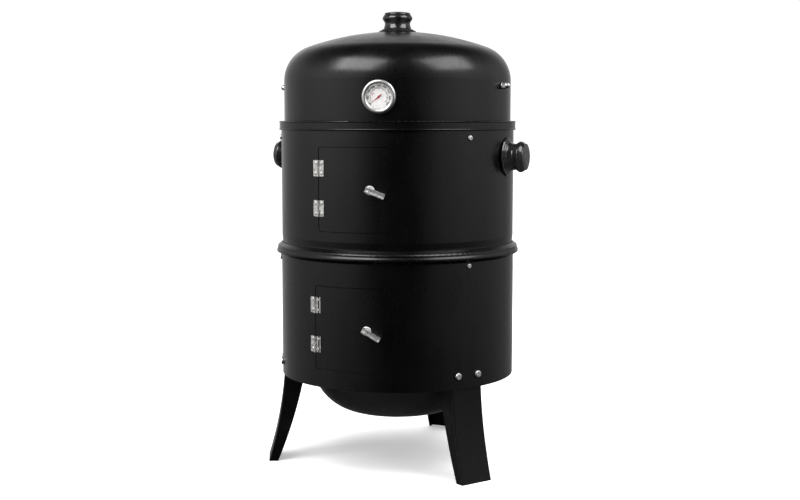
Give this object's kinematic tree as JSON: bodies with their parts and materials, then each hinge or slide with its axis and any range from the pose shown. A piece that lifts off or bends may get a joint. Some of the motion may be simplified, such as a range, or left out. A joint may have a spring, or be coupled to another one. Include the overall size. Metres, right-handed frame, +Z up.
{
  "type": "vertical charcoal smoker",
  "caption": "Upright charcoal smoker: domed lid with thermometer, two stacked barrels with hinged doors, fire bowl, water bowl, grates and flared channel legs.",
  "frame": {"origin": "on the ground, on the common axis of the barrels and of the circle through the feet", "axes": "+Z up along the axis of the barrels; -Y towards the user, on the side of the doors; +X to the right of a person facing the doors"},
  "size_m": [0.4788, 0.4436, 0.7867],
  "materials": {
    "lid_enamel": "satin black heat-resistant enamel",
    "upper_enamel": "satin black heat-resistant enamel",
    "lower_enamel": "satin black heat-resistant enamel",
    "leg_enamel": "satin black powder coat",
    "bowl_enamel": "matt dark porcelain enamel",
    "phenolic": "glossy black phenolic",
    "chromed_wire": "chrome-plated wire",
    "bright_fasteners": "bright zinc plate",
    "zinc_plated_steel": "zinc-plated pressed steel",
    "inner_steel": "black enamel",
    "bezel_steel": "polished stainless steel",
    "case_steel": "plain stainless steel",
    "dial_face": "matt off-white print",
    "lens_glass": "clear flat glass",
    "pointer_red": "dark red paint"
  },
  "bodies": {
    "base": {"lower_barrel": "lower_enamel", "front_left_leg": "leg_enamel", "front_right_leg": "leg_enamel", "rear_leg": "leg_enamel", "leg_bolts": "bright_fasteners", "leg_nuts": "bright_fasteners", "lower_brackets": "inner_steel", "lower_bracket_screws": "bright_fasteners", "lower_bracket_nuts": "bright_fasteners", "lower_door_stop": "inner_steel", "lower_hinge_barrel_leaves": "zinc_plated_steel", "lower_hinge_pins": "zinc_plated_steel", "lower_hinge_barrel_rivets": "zinc_plated_steel"},
    "lower_door": {"lower_door": "lower_enamel", "lower_hinge_door_leaves": "zinc_plated_steel", "lower_hinge_door_rivets": "zinc_plated_steel", "lower_latch_boss": "zinc_plated_steel"},
    "lower_latch": {"lower_latch_lever": "zinc_plated_steel", "lower_latch_spindle": "zinc_plated_steel", "lower_latch_tongue": "zinc_plated_steel"},
    "upper_section": {"upper_barrel": "upper_enamel", "upper_brackets": "inner_steel", "upper_bracket_screws": "bright_fasteners", "upper_bracket_nuts": "bright_fasteners", "upper_door_stop": "inner_steel", "upper_hinge_barrel_leaves": "zinc_plated_steel", "upper_hinge_pins": "zinc_plated_steel", "upper_hinge_barrel_rivets": "zinc_plated_steel", "left_handle": "phenolic", "right_handle": "phenolic", "handle_bolts": "bright_fasteners"},
    "upper_door": {"upper_door": "upper_enamel", "upper_hinge_door_leaves": "zinc_plated_steel", "upper_hinge_door_rivets": "zinc_plated_steel", "upper_latch_boss": "zinc_plated_steel"},
    "upper_latch": {"upper_latch_lever": "zinc_plated_steel", "upper_latch_spindle": "zinc_plated_steel", "upper_latch_tongue": "zinc_plated_steel"},
    "lid": {"lid": "lid_enamel", "lid_knob": "phenolic", "lid_knob_bolt": "bright_fasteners", "thermometer_case": "case_steel", "thermometer_bezel": "bezel_steel", "thermometer_dial": "dial_face", "thermometer_lens": "lens_glass", "thermometer_stem": "case_steel", "thermometer_nut": "case_steel", "hook_bar": "bright_fasteners", "hook_bar_nuts": "bright_fasteners"},
    "pointer": {"thermometer_pointer": "pointer_red"},
    "upper_grate": {"upper_cooking_grate": "chromed_wire"},
    "lower_grate": {"lower_cooking_grate": "chromed_wire"},
    "water_bowl": {"water_bowl": "bowl_enamel"},
    "fire_bowl": {"fire_bowl": "bowl_enamel"},
    "charcoal_grate": {"charcoal_grate": "chromed_wire"},
    "hook_1": {"meat_hook_1": "chromed_wire"},
    "hook_2": {"meat_hook_2": "chromed_wire"},
    "hook_3": {"meat_hook_3": "chromed_wire"},
    "hook_4": {"meat_hook_4": "chromed_wire"}
  },
  "joints": [
    {"name": "upper_barrel_lift", "type": "slide", "parent": "base", "child": "upper_section", "axis": [0, 0, 1], "range_m": [0, 0.25]},
    {"name": "lid_lift", "type": "slide", "parent": "upper_section", "child": "lid", "axis": [0, 0, 1], "range_m": [0, 0.2]},
    {"name": "lower_door_hinge", "type": "hinge", "parent": "base", "child": "lower_door", "pos_m": [-0.05925, -0.19813, 0.2607], "axis": [0, 0, -1], "range_deg": [0, 160]},
    {"name": "upper_door_hinge", "type": "hinge", "parent": "upper_section", "child": "upper_door", "pos_m": [-0.05153, -0.19925, 0.4876], "axis": [0, 0, -1], "range_deg": [0, 160]},
    {"name": "lower_latch_turn", "type": "hinge", "parent": "lower_door", "child": "lower_latch", "pos_m": [0.03834, -0.20098, 0.2565], "axis": [0.1874, -0.9823, 0], "range_deg": [-61, 29]},
    {"name": "upper_latch_turn", "type": "hinge", "parent": "upper_door", "child": "upper_latch", "pos_m": [0.04372, -0.19885, 0.486], "axis": [0.2147, -0.9767, 0], "range_deg": [-69, 21]},
    {"name": "pointer_turn", "type": "hinge", "parent": "lid", "child": "pointer", "pos_m": [0.05624, -0.18985, 0.6365], "axis": [-0.284, 0.9588, 0], "range_deg": [0, 255], "stiffness_Nm_per_rad": 0.001},
    {"name": "upper_grate_lift", "type": "slide", "parent": "upper_section", "child": "upper_grate", "axis": [0, 0, 1], "range_m": [0, 0.025]},
    {"name": "water_bowl_lift", "type": "slide", "parent": "base", "child": "water_bowl", "axis": [0, 0, 1], "range_m": [0, 0.1]},
    {"name": "lower_grate_lift", "type": "slide", "parent": "water_bowl", "child": "lower_grate", "axis": [0, 0, 1], "range_m": [0, 0.08]},
    {"name": "fire_bowl_lift", "type": "slide", "parent": "base", "child": "fire_bowl", "axis": [0, 0, 1], "range_m": [0, 0.05]},
    {"name": "charcoal_grate_lift", "type": "slide", "parent": "fire_bowl", "child": "charcoal_grate", "axis": [0, 0, 1], "range_m": [0, 0.05]},
    {"name": "hook_1_swing", "type": "hinge", "parent": "lid", "child": "hook_1", "pos_m": [-0.08725, -0.03534, 0.657], "axis": [0.9962, 0.0872, 0], "range_deg": [-40, 40]},
    {"name": "hook_2_swing", "type": "hinge", "parent": "lid", "child": "hook_2", "pos_m": [-0.02748, -0.03011, 0.657], "axis": [0.9962, 0.0872, 0], "range_deg": [-40, 40]},
    {"name": "hook_3_swing", "type": "hinge", "parent": "lid", "child": "hook_3", "pos_m": [0.03229, -0.02488, 0.657], "axis": [0.9962, 0.0872, 0], "range_deg": [-40, 40]},
    {"name": "hook_4_swing", "type": "hinge", "parent": "lid", "child": "hook_4", "pos_m": [0.09206, -0.01965, 0.657], "axis": [0.9962, 0.0872, 0], "range_deg": [-40, 40]}
  ]
}
